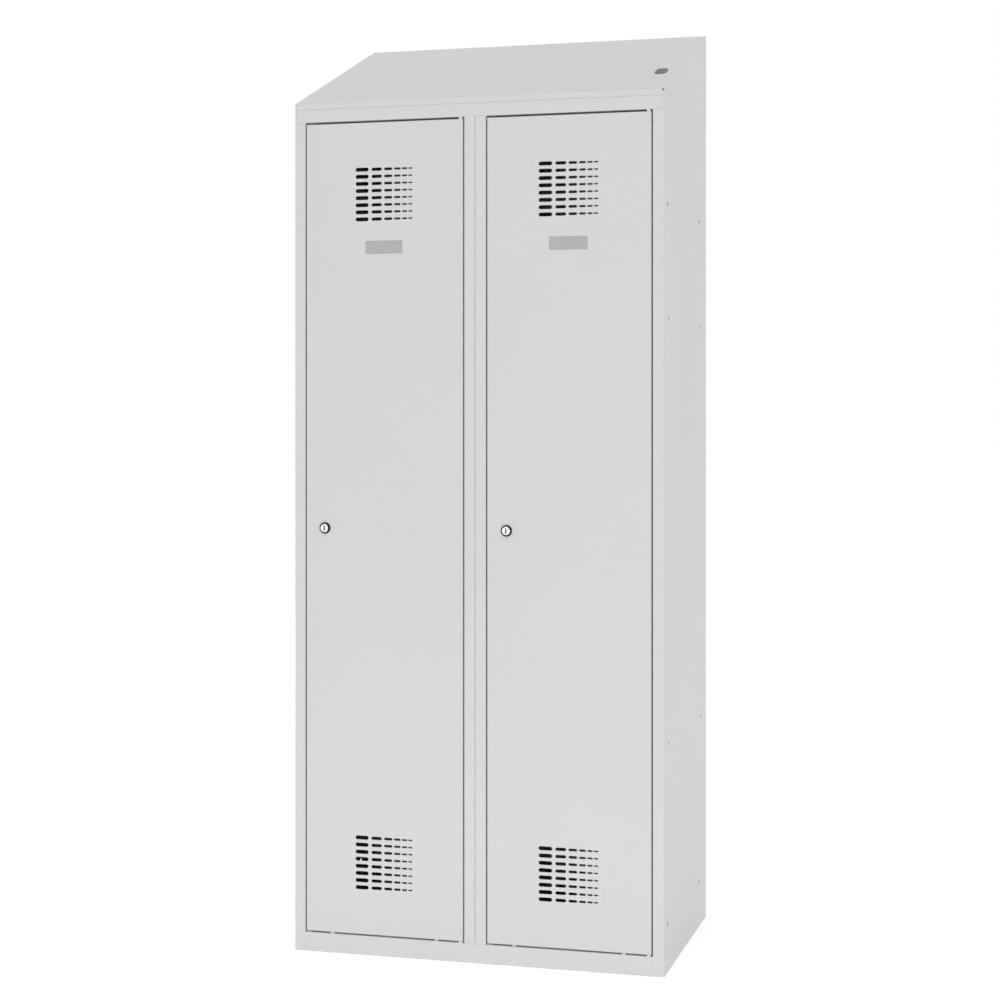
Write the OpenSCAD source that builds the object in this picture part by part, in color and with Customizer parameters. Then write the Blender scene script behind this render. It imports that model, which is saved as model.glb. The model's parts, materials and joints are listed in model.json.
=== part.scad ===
// Metal clothes locker with two compartments, two hinged doors and a sloping top.
// Millimetres. Origin on the floor under the middle of the body, +Z up, doors facing -Y.

/* [Body] */
// Overall width of the body
body_w = 800; // [700:10:1000]
// Depth of the body, front faces to back
body_d = 490; // [420:10:600]
// Height of the body below the sloping top
body_h = 1800; // [1600:10:2000]
// Thickness of the steel sheet
sheet_t = 0.8; // [0.6:0.1:1.2]
// Outer radius of the bends in the sheet
bend_r = 1.6; // [1.4:0.1:2.4]
// Width of the open seams between neighbouring sheets
seam = 0.3; // [0.2:0.1:0.8]
// Width of the hidden flanges that are welded to the next sheet
weld_flange = 16; // [12:1:22]

/* [Frame round the doors] */
// Width of each upright stile beside a door
stile_w = 23.5; // [20:0.5:32]
// Width of the side panel that shows beside the top rail
corner_strip = 3.5; // [3.2:0.1:6]
// Height of the rail under the doors
bottom_rail_h = 40; // [30:1:100]
// Height of the rail over the doors
top_rail_h = 40; // [34:1:80]
// Depth of the ledge behind the top rail
top_ledge = 30; // [26:1:45]
// Width of the lip that the closed door stops against
stop_lip = 12; // [10:0.5:14]

/* [Joining holes in the sides] */
// Diameter of the holes for joining bolts
join_hole_d = 9; // [5:0.5:11]
// Distance from the front to the front joining holes
join_front = 37; // [34:1:60]
// Distance between the front and the back joining holes
join_span_y = 364; // [300:1:380]
// Height of the lower joining holes
join_low = 100; // [80:5:200]
// Distance between the lower and the upper joining holes
join_span_z = 1470; // [1000:10:1480]
// Diameter of the smaller holes between them
small_hole_d = 7.5; // [4:0.5:9]
// Distance from the front to the front small holes
small_front = 50; // [45:1:80]
// Distance between the front and the back small holes
small_span_y = 372; // [250:1:380]
// Height of the lower small holes
small_low = 466; // [300:1:600]
// Distance between the lower and the upper small holes
small_span_z = 872; // [500:1:900]

/* [Sloping top] */
// Height that the top rises from front to back
slope_rise = 200; // [120:10:300]
// Height of the skirt that laps over the top rail
skirt_h = 12; // [8:1:20]
// Length of the relief cut at each front corner of the top
corner_relief = 3; // [2:0.5:6]
// Width of the oblong hole in the slope
plug_hole_w = 20; // [14:1:30]
// Length of that hole, up the slope
plug_hole_l = 43; // [34:1:70]
// Distance from the right side to the middle of that hole
plug_inset = 36; // [32:0.5:100]
// Distance from the front to the middle of that hole
plug_front = 153; // [80:1:300]
// Width of the rim of the plug that closes it
plug_rim = 2.5; // [1.5:0.5:4]
// Thickness of the plug's cap
plug_cap_t = 1.6; // [1:0.2:3]
// Diameter of the screws that hold the sloping top
top_screw_d = 4; // [3:0.5:5]

/* [Doors] */
// Gap between a door's side edges and the stiles
side_gap = 2.9; // [1.9:0.1:3.4]
// Gap above a door
top_gap = 4.2; // [2:0.1:5]
// Gap below a door
bottom_gap = 3.2; // [1.5:0.1:4]
// Depth of a door from its face to its back edge
door_depth = 20; // [18:0.5:26]
// Gap between a closed door's back edge and the stop lip
stop_gap = 2; // [1.8:0.1:4]
// Width of the edge turned inwards at the back of a door
door_return = 12; // [10:0.5:16]
// Width of the stiffener's crown
stiffener_w = 42; // [30:1:50]
// Width of each of the stiffener's welded brims
stiffener_brim = 14; // [8:1:16]
// Depth of the stiffener
stiffener_depth = 15; // [8:0.5:16]
// Distance from the middle of the door to the middle of the stiffener
stiffener_offset = 105; // [102:1:118]
// Distance from the stiffener's ends to the door's ends
stiffener_inset = 30; // [20:1:80]

/* [Ventilation slots] */
// Rows of slots in each block
vent_rows = 8; // [4:1:10]
// Columns of slots in each block
vent_columns = 6; // [3:1:7]
// Distance from row to row
vent_row_pitch = 15; // [12:0.5:20]
// Distance from the first column to the second
vent_first_pitch = 32.5; // [31:0.5:36]
// Length of the slots in the first column
vent_first_length = 28.8; // [20:0.2:29]
// Height of the slots in the first column
vent_first_height = 8.2; // [5:0.2:10]
// Length and distance of each column relative to the one before it
vent_ratio = 0.79; // [0.7:0.01:0.8]
// Height of each column's slots relative to the one before it
vent_height_ratio = 0.82; // [0.7:0.01:0.9]
// Distance from the door's end to the middle of the nearer block
vent_inset = 151.5; // [120:0.5:200]

/* [Label plate] */
// Width of the label plate
label_w = 81; // [60:1:100]
// Height of the label plate
label_h = 27; // [20:1:35]
// Thickness of the label plate
label_t = 0.8; // [0.5:0.1:1.5]
// Distance from the top of the door to the middle of the label plate
label_drop = 263.5; // [250:0.5:320]

/* [Hinges] */
// Distance from the door's edge to the hinge axis
hinge_inset = 6.1; // [6:0.1:8]
// Distance from the door's face to the hinge axis
hinge_depth = 5; // [4.8:0.1:5.1]
// Diameter of the hinge pins
hinge_pin_d = 5; // [4:0.5:5]
// Length of pin that reaches into the frame
hinge_pin_reach = 6; // [5:0.5:9]
// Wall of the plastic bushes that the pins turn in
bush_wall = 1; // [0.8:0.1:1]
// Thickness of the plates that carry the pins inside the door
hinge_plate_t = 2; // [1.5:0.5:4]
// Length of those plates along the door
hinge_plate_w = 32; // [20:1:50]
// Running clearance between pin and bush, on the radius
running_clearance = 0.08; // [0.05:0.01:0.1]

/* [Lock] */
// Distance from the door's free edge to the lock
lock_inset = 41.6; // [38:0.1:44]
// Diameter of the lock's black collar where it meets the door
lock_collar_d = 24.3; // [22:0.1:28]
// Distance that the lock stands out from the door
lock_proud = 5; // [3:0.5:8]
// Diameter of the bright face with the keyway
lock_face_d = 17.5; // [15:0.1:19]
// Diameter of the lock's threaded barrel
lock_barrel_d = 18; // [17:0.5:19]
// Diameter of the turning plug inside the barrel
lock_core_d = 13; // [12:0.5:14]
// Length of the keyway
keyway_l = 12; // [8:0.5:12]
// Width of the keyway
keyway_w = 2.4; // [1.6:0.2:3]
// Depth of the keyway
keyway_depth = 14; // [8:1:16]
// Length of the cam from the lock's axis to its tip
cam_l = 40; // [38:0.5:41]
// Width of the cam
cam_w = 16; // [13:0.5:18]
// Thickness of the cam
cam_t = 2; // [1.5:0.5:3]
// Width across the flats of the lock's nut
lock_nut_w = 24; // [22:1:28]
// Thickness of the lock's nut
lock_nut_t = 4; // [2:0.5:6]

/* [Hat shelf] */
// Height of the shelf's upper face
shelf_z = 1500; // [1400:10:1550]
// Height of the shelf's turned-down edges
shelf_edge = 22; // [15:1:30]
// Distance from the stop lip back to the shelf
shelf_setback = 10; // [5:1:40]

/* [Coat rail and hooks] */
// Distance from the shelf down to the middle of the rail
rail_drop = 70; // [60:1:100]
// Height of the oval rail
rail_h = 30; // [25:1:32]
// Width of the oval rail
rail_w = 15; // [12:1:18]
// Wall of the rail's tube
rail_wall = 1.2; // [1:0.1:2]
// Length of the sockets that hold the rail's ends
socket_l = 12; // [8:1:20]
// Wall of those sockets
socket_wall = 2; // [1.5:0.5:4]
// Clearance between the rail and the sockets
socket_clearance = 0.1; // [0.05:0.05:0.3]
// Width of each coat hook
hook_w = 12; // [8:1:16]
// Thickness of the hook's eye and arms
hook_t = 4; // [3:0.5:5]
// Clearance between the rail and the hook's eye
hook_clearance = 0.4; // [0.3:0.1:1]
// Radius of the hook's two upturned arms, to their middle
hook_arm_r = 14; // [12:1:20]
// Length of the stem between the eye and the arms
hook_stem = 24; // [20:1:50]
// Distance between the two hooks on one rail
hook_spacing = 130; // [100:5:160]

/* [Stops and pads] */
// Diameter of the rubber buffers on the stop lips
buffer_d = 8; // [5:0.5:9]
// Distance from the door's ends to its buffers
buffer_inset = 250; // [100:10:500]
// Length of the pads under a door
pad_l = 8; // [5:1:15]
// Depth of those pads
pad_depth = 10; // [6:1:14]
// Distance from the door's edges to the inner pads
pad_inset = 58; // [40:1:100]
// Distance from the door's free edge to the corner pad
pad_corner = 7; // [5:1:12]
// Air left above pads and in front of buffers
pad_clearance = 0.2; // [0.1:0.1:0.5]

/* [Hidden] */
$fn = 48;

// Colours
paint = [0.84, 0.84, 0.84];
door_paint = [0.85, 0.85, 0.85];
zinc = [0.7, 0.71, 0.72];
chrome = [0.9, 0.9, 0.92];
black = [0.1, 0.1, 0.1];
plug_grey = [0.42, 0.42, 0.42];
label_grey = [0.7, 0.7, 0.69];
white_plastic = [0.88, 0.88, 0.87];
rubber_grey = [0.3, 0.3, 0.3];

// Body
half_w = body_w / 2;
front_y = -body_d / 2;
back_y = body_d / 2;
cut = 1;
// Length by which two stretches of one sheet run into each other
merge = 0.1;
recess = door_depth + stop_gap;
lip_y = front_y + recess;
back_sheet_y = back_y - sheet_t;
inner_back_y = back_y - 2 * sheet_t;
opening_top = body_h - top_rail_h;
partition_x = seam / 2;
ceiling_z = body_h - weld_flange;
rail_half = half_w - corner_strip - seam;
// Where the side panels' bends begin, across the body and at its back
bend_start = half_w - bend_r;
bend_back_y = back_y - bend_r;

// Doors
door_w = half_w - 2 * stile_w - 2 * side_gap;
door_left_x = stile_w + side_gap;
door_right_x = door_left_x + door_w;
door_mid_x = door_left_x + door_w / 2;
door_bottom = bottom_rail_h + bottom_gap;
door_top = opening_top - top_gap;
door_h = door_top - door_bottom;
door_mid_z = door_bottom + door_h / 2;
skin_y = front_y + sheet_t;
label_corner = 1.5;

// Hinges: the pins turn about this upright line of the right-hand door
hinge_x = door_right_x - hinge_inset;
hinge_y = front_y + hinge_depth;
bush_r = hinge_pin_d / 2 + running_clearance + bush_wall;
bush_rim = 0.8;
bush_collar_r = bush_r + bush_rim;
bush_depth = 5;
pin_head_rim = 1;
pin_head_t = 1.5;
// Gap between parts of one body that are fitted into each other
fit_gap = 0.05;

// Lock
lock_x = door_left_x + lock_inset;
lock_air = 0.4;
barrel_end = door_depth + stop_gap - lock_air;
cam_start = door_depth + stop_gap + sheet_t + 2 * lock_air;
core_end = cam_start - lock_air;
core_square = 7;
face_step = 0.6;
face_bevel = 0.8;
face_seat = 1.5;
collar_wall = 0.9;
collar_edge = 0.8;
cam_screw_head_r = 4.5;
cam_screw_head_t = 2.5;
cam_screw_r = 2;
cam_screw_l = 8;

// Sloping top: the sheet starts just in front of the top rail and ends at the back
lap_y = front_y - sheet_t;
slope_clear = 0.2;
slope_run = back_y - front_y;
slope_lift = slope_rise - slope_clear;
slope_angle = acos(sheet_t / norm([slope_lift, slope_run])) - atan2(slope_run, slope_lift);
slope_tan = tan(slope_angle);
slope_front_z = body_h + slope_clear + sheet_t / cos(slope_angle) - sheet_t * slope_tan;
slope_length = (back_y - lap_y) / cos(slope_angle);
angle_start = front_y + (weld_flange + bend_r) / slope_tan;
angle_end = back_sheet_y - weld_flange - seam;
top_screw_x = half_w - weld_flange / 2 - bend_r;
top_screw_end = 26;
top_screw_y = [angle_start + top_screw_end, (angle_start + angle_end) / 2, angle_end - top_screw_end];
screw_play = 0.4;
screw_core_d = top_screw_d - screw_play;
screw_head_r = 3.6;
screw_head_t = 2;
screw_tail = 6;
plug_stem = 5;
plug_wall = 2;
plug_lift = 0.02;
plug_z = slope_front_z + (front_y + plug_front - lap_y) * slope_tan;

// Fittings
wall_left = partition_x + sheet_t;
wall_right = half_w - sheet_t;
bay_w = wall_right - wall_left;
bay_mid = wall_left + bay_w / 2;
shelf_front = lip_y + sheet_t + shelf_setback;
shelf_depth = inner_back_y - bend_r - shelf_front;
rail_z = shelf_z - rail_drop;
rail_y = 0;
socket_base_t = 2;
socket_base_rim = 5;
hook_tip_d = 1.4 * hook_t;

// One quarter of a bend, turned to the quarter that it fills
module bend(turn) {
    rotate(turn) intersection() {
        difference() {
            circle(r = bend_r);
            circle(r = bend_r - sheet_t);
        }
        square(bend_r + cut);
    }
}

// A flat stretch between two corners
module flat(x0, y0, x1, y1) {
    translate([x0, y0]) square([x1 - x0, y1 - y0]);
}

// A round-ended slot or bar, long side across
module stadium(length, height) {
    straight = length - height;
    translate([-straight / 2, -height / 2]) square([straight, height]);
    for (side = [-1, 1])
        translate([side * straight / 2, 0]) circle(d = height);
}

// Plan of an upright sheet whose wall stands at x = 0: wall, stile, return, stop lip and back flange
module upright_plan(front_w, rear_y) {
    t = sheet_t;
    r = bend_r;
    flat(0, front_y + r, t, rear_y - r);
    translate([r, front_y + r]) bend(180);
    flat(r, front_y, front_w - r, front_y + t);
    translate([front_w - r, front_y + r]) bend(270);
    flat(front_w - t, front_y + r, front_w, lip_y + t - r);
    translate([front_w - t + r, lip_y + t - r]) bend(90);
    flat(front_w - t + r, lip_y, front_w + stop_lip, lip_y + t);
    translate([r, rear_y - r]) bend(90);
    flat(r, rear_y - t, weld_flange, rear_y);
}

// Holes through a side wall at the corners of a rectangle
module hole_rectangle(d, front, span_y, low, span_z) {
    for (y = [0, span_y], z = [0, span_z])
        translate([-cut, front_y + front + y, low + z])
            rotate([0, 90, 0]) cylinder(d = d, h = sheet_t + 2 * cut);
}

// Side panel with its wall at x = 0
module side_panel() {
    color(paint) difference() {
        union() {
            linear_extrude(body_h) upright_plan(stile_w, back_y);
            // under the door opening the bend is filled and ground flush with the rail
            translate([stile_w - bend_r - merge, front_y, 0]) cube([bend_r + merge, sheet_t, bottom_rail_h]);
            translate([sheet_t / 2, lip_y + bend_r, 0])
                cube([weld_flange - sheet_t / 2, back_sheet_y - bend_r - lip_y - cut, sheet_t]);
        }
        translate([corner_strip, front_y - cut, opening_top])
            cube([stile_w + stop_lip, recess + sheet_t + 2 * cut, body_h]);
        translate([-cut, front_y - cut, body_h - corner_relief])
            cube([corner_strip + 2 * cut, corner_relief + cut, body_h]);
        hole_rectangle(join_hole_d, join_front, join_span_y, join_low, join_span_z);
        hole_rectangle(small_hole_d, small_front, small_span_y, small_low, small_span_z);
    }
}
module side_panel_left() {
    translate([-half_w, 0, 0]) side_panel();
}
module side_panel_right() {
    mirror([1, 0, 0]) side_panel_left();
}

// One of the two walls that stand back to back in the middle
module partition_right() {
    wall_h = ceiling_z - bottom_rail_h;
    color(paint) translate([partition_x, 0, bottom_rail_h]) difference() {
        linear_extrude(wall_h) upright_plan(stile_w - partition_x, inner_back_y);
        translate([-cut, front_y - cut, opening_top - bottom_rail_h])
            cube([stile_w + stop_lip + 2 * cut, top_ledge + 2 * cut, body_h]);
    }
}
module partition_left() {
    mirror([1, 0, 0]) partition_right();
}

module back_panel() {
    color(paint) translate([-bend_start, inner_back_y, 0]) cube([2 * bend_start, sheet_t, body_h]);
}

// Section of the bottom panel's front: foot, kick face and start of the floor (x is depth, y is height)
module kick_section() {
    t = sheet_t;
    r = bend_r;
    flat(r, 0, weld_flange, t);
    translate([r, r]) bend(180);
    flat(0, r, t, bottom_rail_h - r);
    translate([r, bottom_rail_h - r]) bend(90);
    flat(r, bottom_rail_h - t, recess - r - seam, bottom_rail_h);
}

// Extrudes a depth and height section across the body, from -half to +half
module across(half) {
    translate([-half, front_y, 0]) rotate([90, 0, 90]) linear_extrude(2 * half) children();
}

// Upright holes for the hinge bushes of both doors
module bush_holes(z) {
    for (x = [hinge_x, hinge_x - half_w])
        translate([x, hinge_y, z - bend_r]) cylinder(r = bush_r + fit_gap, h = 2 * bend_r);
}

module bottom_panel() {
    notch_x = half_w - stile_w - stop_lip - seam;
    middle_y = lip_y + sheet_t + bend_r;
    floor_z = bottom_rail_h - sheet_t;
    edge_z = bottom_rail_h - weld_flange;
    edge_h = weld_flange - sheet_t / 2;
    color(paint) difference() {
        union() {
            across(half_w - stile_w - fit_gap) kick_section();
            translate([-notch_x, lip_y - bend_r - 2 * seam, floor_z])
                cube([2 * notch_x, middle_y - lip_y + bend_r + 3 * seam, sheet_t]);
            // floor, with its side and back edges turned down and its back corners clear of the bends
            translate([-wall_right, middle_y, floor_z])
                cube([2 * wall_right, bend_back_y - middle_y, sheet_t]);
            translate([-bend_start, middle_y, floor_z])
                cube([2 * bend_start, inner_back_y - middle_y, sheet_t]);
            for (side = [0, 1]) mirror([side, 0, 0])
                translate([wall_right - sheet_t, middle_y, edge_z])
                    cube([sheet_t, bend_back_y - middle_y, edge_h]);
            translate([-bend_start, inner_back_y - sheet_t, edge_z])
                cube([2 * bend_start, sheet_t, edge_h]);
        }
        bush_holes(bottom_rail_h);
    }
}

// Section of the rail over the doors: ledge, face and upper flange (x is depth, y is height)
module rail_section() {
    t = sheet_t;
    r = bend_r;
    flat(r, opening_top, top_ledge, opening_top + t);
    translate([r, opening_top + r]) bend(180);
    flat(0, opening_top + r, t, body_h - r);
    translate([r, body_h - r]) bend(90);
    flat(r, body_h - t, weld_flange, body_h);
}

module top_rail() {
    color(paint) difference() {
        across(rail_half) rail_section();
        bush_holes(opening_top);
    }
}

// Ceiling of the compartments, with its front and back edges turned up
module top_panel() {
    t = sheet_t;
    back = inner_back_y - front_y;
    color(paint) difference() {
        across(wall_right) {
            flat(t, ceiling_z, back, ceiling_z + t);
            flat(t, ceiling_z, 2 * t, body_h - bend_r);
            flat(back - t, ceiling_z, back, body_h);
        }
        // front corners clear of the side panels' stiles, back corners clear of their bends
        for (side = [0, 1]) mirror([side, 0, 0]) {
            translate([rail_half, front_y - cut, ceiling_z - cut])
                cube([body_w, cut + bend_r + seam, body_h]);
            translate([bend_start, bend_back_y, ceiling_z - cut]) cube([body_w, body_d, body_h]);
        }
        top_screw_places() translate([0, 0, -cut])
            cylinder(d = top_screw_d + screw_play, h = sheet_t + 2 * cut);
    }
}

// Both rows of screws that hold the sloping top down, at the underside of the ceiling
module top_screw_places() {
    for (side = [-1, 1], y = top_screw_y)
        translate([side * top_screw_x, y, ceiling_z]) children();
}

// The frame of the slope: x across, y up the slope, z square to the sheet, from its front edge
module on_slope() {
    translate([0, lap_y, slope_front_z]) rotate([slope_angle, 0, 0]) children();
}

// Across the slope: top sheet with its rounded edges and the cheeks under them (x across, y off the sheet)
module slope_plan(depth) {
    r = bend_r;
    flat(-half_w + r, -sheet_t, half_w - r, 0);
    for (side = [0, 1]) mirror([side, 0]) {
        translate([half_w - r, -r]) bend(0);
        flat(half_w - sheet_t, -depth, half_w, -r);
    }
}

// Skirt and its bend into the slope (x is depth from the lap, y is height)
module skirt_section() {
    r = bend_r;
    bend_y = slope_front_z - r * (1 - sin(slope_angle)) / cos(slope_angle);
    reach = 3 * r;
    flat(0, body_h - skirt_h, sheet_t, bend_y);
    translate([r, bend_y]) intersection() {
        difference() {
            circle(r = r);
            circle(r = r - sheet_t);
        }
        polygon([[0, 0], [-reach, 0], [-reach, reach],
            [-reach * sin(slope_angle), reach * cos(slope_angle)]]);
    }
}

module sloping_top() {
    plate_start = bend_r * (1 - sin(slope_angle)) / cos(slope_angle) - merge;
    inner_half = half_w - bend_r - seam;
    color(paint) difference() {
        union() {
            on_slope() translate([0, slope_length + cut, 0]) rotate([90, 0, 0])
                linear_extrude(slope_length + cut - plate_start) slope_plan(2 * slope_rise);
            translate([0, lap_y - front_y, 0]) across(inner_half - corner_relief / 2) skirt_section();
        }
        // the cheeks stop just above the side panels, and clear of the front corners
        for (side = [0, 1]) mirror([side, 0, 0]) translate([inner_half, 0, 0]) {
            translate([0, lap_y - cut, 0]) cube([body_w, 2 * body_d, body_h + seam]);
            translate([0, lap_y - cut, 0]) cube([body_w, corner_relief + sheet_t + cut, 2 * body_h]);
        }
        translate([-body_w, back_y, 0]) cube([2 * body_w, body_d, 2 * body_h]);
        plug_place() translate([0, 0, -5 * cut]) linear_extrude(10 * cut) plug_outline(0);
    }
}

// Angles that join the cheeks to the body: leg against side panel and cheek, foot on the ceiling
module sloping_top_angles() {
    foot_z = ceiling_z + sheet_t;
    length = angle_end - angle_start;
    color(paint) difference() {
        for (side = [0, 1]) mirror([side, 0, 0]) {
            translate([wall_right - weld_flange, angle_start, foot_z])
                cube([weld_flange, length, sheet_t]);
            translate([wall_right - sheet_t, angle_start, foot_z])
                cube([sheet_t, length, body_h + weld_flange - foot_z]);
        }
        top_screw_places() cylinder(d = screw_core_d, h = 2 * sheet_t + cut);
    }
}

// Back plate of the sloping top, with a foot and an upper flange
module sloping_top_back() {
    run = slope_run - sheet_t;
    under = body_h + slope_clear;
    top_z = under + run * slope_tan;
    lower_z = under + (run - weld_flange) * slope_tan;
    flange = sheet_t / cos(slope_angle);
    color(paint) difference() {
        across(wall_right - fit_gap) polygon([
            [run - weld_flange, body_h], [slope_run, body_h], [slope_run, top_z - fit_gap],
            [run, top_z - fit_gap], [run - weld_flange, lower_z - fit_gap],
            [run - weld_flange, lower_z - fit_gap - flange], [run, top_z - fit_gap - flange],
            [run, body_h + sheet_t], [run - weld_flange, body_h + sheet_t]
        ]);
        // upper corners, clear of the bends of the slope into its cheeks
        for (side = [0, 1]) mirror([side, 0, 0])
            translate([bend_start, back_y - 2 * weld_flange, lower_z - bend_r])
                cube([body_w, 4 * weld_flange, slope_rise]);
    }
}

module sloping_top_screws() {
    color(zinc) top_screw_places() {
        translate([0, 0, -screw_head_t]) cylinder(r = screw_head_r, h = screw_head_t);
        translate([0, 0, -cut])
            cylinder(d = screw_core_d - 2 * fit_gap, h = cut + 2 * sheet_t + screw_tail);
    }
}

// Middle of the plug's hole, square to the slope
module plug_place() {
    translate([half_w - plug_inset, front_y + plug_front, plug_z]) rotate([slope_angle, 0, 0]) children();
}

// The hole's outline, larger all round by a margin
module plug_outline(margin) {
    rotate([0, 0, 90]) stadium(plug_hole_l + 2 * margin, plug_hole_w + 2 * margin);
}

module roof_plug() {
    color(plug_grey) plug_place() translate([0, 0, plug_lift]) {
        linear_extrude(plug_cap_t) plug_outline(plug_rim);
        translate([0, 0, -plug_stem]) difference() {
            linear_extrude(plug_stem + plug_cap_t / 2) plug_outline(-fit_gap);
            translate([0, 0, -cut]) linear_extrude(plug_stem + cut) plug_outline(-fit_gap - plug_wall);
        }
    }
}

// Tray of sheet, open below: outer size, height of its edges, and lips turned in along the bottom
module tray(size_x, size_y, depth, lip) {
    t = sheet_t;
    difference() {
        rounded_block(size_x, size_y, depth, bend_r);
        translate([0, 0, -t]) rounded_block(size_x - 2 * t, size_y - 2 * t, depth - 2 * t, bend_r - t);
        translate([-size_x / 2 + lip, -size_y / 2 + lip, -depth - cut])
            cube([size_x - 2 * lip, size_y - 2 * lip, depth]);
    }
}

// Block below z = 0 whose four upper edges are rounded
module rounded_block(size_x, size_y, depth, r) {
    intersection() {
        translate([0, size_y / 2, 0]) rotate([90, 0, 0])
            linear_extrude(size_y) rounded_top(size_x, depth, r);
        translate([-size_x / 2, 0, 0]) rotate([90, 0, 90])
            linear_extrude(size_x) rounded_top(size_y, depth, r);
    }
}
module rounded_top(width, depth, r) {
    flat(-width / 2, -depth, width / 2, -r);
    flat(-width / 2 + r, -depth, width / 2 - r, 0);
    for (side = [-1, 1])
        translate([side * (width / 2 - r), -r]) circle(r = r);
}

// Stands things made flat in the door's face: x across, y up, z out of the door
module on_door() {
    translate([door_mid_x, front_y, door_mid_z]) rotate([90, 0, 0]) children();
}

// A size in the first column shrunk to column k, to a tenth of a millimetre as it is punched
function shrunk(first, k, ratio = vent_ratio) = round(10 * first * pow(ratio, k)) / 10;

// Distance from the first column to column k
function column_x(k) = k == 0 ? 0 : column_x(k - 1) + shrunk(vent_first_pitch, k - 1);
vent_last = vent_columns - 1;
vent_reach = column_x(vent_last) + shrunk(vent_first_length, vent_last) / 2;
vent_start = (vent_first_length / 2 - vent_reach) / 2;

module vent_block() {
    for (column = [0 : vent_last], row = [0 : vent_rows - 1])
        translate([vent_start + column_x(column), (row - (vent_rows - 1) / 2) * vent_row_pitch])
            stadium(shrunk(vent_first_length, column), shrunk(vent_first_height, column, vent_height_ratio));
}

module door_panel_right() {
    color(door_paint) difference() {
        on_door() tray(door_w, door_h, door_depth, door_return);
        on_door() for (side = [-1, 1])
            translate([0, side * (door_h / 2 - vent_inset), -sheet_t - cut])
                linear_extrude(sheet_t + 2 * cut) vent_block();
        lock_axis() rotate([90, 0, 0]) translate([0, 0, -sheet_t - cut])
            cylinder(d = lock_barrel_d + 2 * fit_gap, h = sheet_t + 2 * cut);
        for (z = [door_bottom, door_top])
            translate([hinge_x, hinge_y, z - 2 * cut]) cylinder(d = hinge_pin_d + 2 * fit_gap, h = 4 * cut);
    }
}

module door_stiffener_right() {
    h = door_h - 2 * stiffener_inset;
    half = stiffener_w / 2;
    color(door_paint) translate([door_mid_x + stiffener_offset, skin_y, door_bottom + stiffener_inset])
        linear_extrude(h) {
            for (side = [0, 1]) mirror([side, 0]) {
                flat(half - sheet_t / 2, 0, half + stiffener_brim, sheet_t);
                flat(half - sheet_t, 0, half, stiffener_depth);
            }
            flat(-half, stiffener_depth - sheet_t, half, stiffener_depth);
        }
}

// Repeats a part made for the top of the door at the bottom, upside down
module both_ends() {
    translate([hinge_x, hinge_y, door_top]) children();
    translate([hinge_x, hinge_y, door_bottom]) mirror([0, 0, 1]) children();
}

module hinge_plates_right() {
    plate_depth = door_depth - bend_r - sheet_t - fit_gap;
    color(zinc) both_ends() difference() {
        translate([hinge_inset - bend_r - hinge_plate_w, bend_r - hinge_depth, -sheet_t - hinge_plate_t])
            cube([hinge_plate_w, plate_depth, hinge_plate_t]);
        translate([0, 0, -sheet_t - hinge_plate_t - cut])
            cylinder(d = hinge_pin_d + 2 * fit_gap, h = hinge_plate_t + 2 * cut);
    }
}

module hinge_pin(gap) {
    base = -sheet_t - hinge_plate_t;
    translate([0, 0, base - pin_head_t]) cylinder(r = hinge_pin_d / 2 + pin_head_rim, h = pin_head_t);
    translate([0, 0, base - pin_head_t / 2])
        cylinder(d = hinge_pin_d, h = gap + hinge_pin_reach - base + pin_head_t / 2);
}
module hinge_pins_right() {
    color(zinc) {
        translate([hinge_x, hinge_y, door_top]) hinge_pin(top_gap);
        translate([hinge_x, hinge_y, door_bottom]) mirror([0, 0, 1]) hinge_pin(bottom_gap);
    }
}

// A flanged bush whose collar lies against the frame and fills the gap to the door
module hinge_bush(gap) {
    difference() {
        union() {
            translate([0, 0, pad_clearance]) cylinder(r = bush_collar_r, h = gap - pad_clearance);
            translate([0, 0, gap / 2]) cylinder(r = bush_r, h = gap / 2 + bush_depth);
        }
        translate([0, 0, -cut])
            cylinder(r = hinge_pin_d / 2 + running_clearance, h = gap + bush_depth + 2 * cut);
    }
}
module hinge_bushes_right() {
    color(white_plastic) {
        translate([hinge_x, hinge_y, door_top]) hinge_bush(top_gap);
        translate([hinge_x, hinge_y, door_bottom]) mirror([0, 0, 1]) hinge_bush(bottom_gap);
    }
}

// Rubber buffers on the stop lips at each door's free edge
module door_buffers() {
    color(rubber_grey)
        for (x = [0, -half_w], z = [door_bottom + buffer_inset, door_top - buffer_inset])
            translate([x + stile_w + stop_lip / 2, lip_y, z]) rotate([90, 0, 0])
                cylinder(d = buffer_d, h = stop_gap - pad_clearance);
}

// Pads on the bottom rail that keep each closed door level
module door_pads() {
    gap = bottom_gap - pad_clearance;
    places = [door_left_x + pad_corner, door_left_x + pad_inset, door_right_x - pad_inset];
    color(white_plastic)
        for (x = [0, -half_w], place = places)
            translate([x + place, front_y + bend_r + pad_depth / 2, bottom_rail_h])
                linear_extrude(gap) square([pad_l, pad_depth], center = true);
}

module label_plate_right() {
    r = label_corner;
    color(label_grey) translate([door_mid_x, front_y, door_top - label_drop]) rotate([90, 0, 0])
        linear_extrude(label_t) {
            square([label_w - 2 * r, label_h], center = true);
            square([label_w, label_h - 2 * r], center = true);
            for (x = [-1, 1], y = [-1, 1])
                translate([x * (label_w / 2 - r), y * (label_h / 2 - r)]) circle(r = r);
        }
}

// The lock's axis, at the face of the door
module lock_axis() {
    translate([lock_x, front_y, door_mid_z]) children();
}

// Turns a round section (x is radius, y is depth behind the door's face) about the lock's axis
module about_lock() {
    lock_axis() rotate([-90, 0, 0]) rotate_extrude() children();
}

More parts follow.
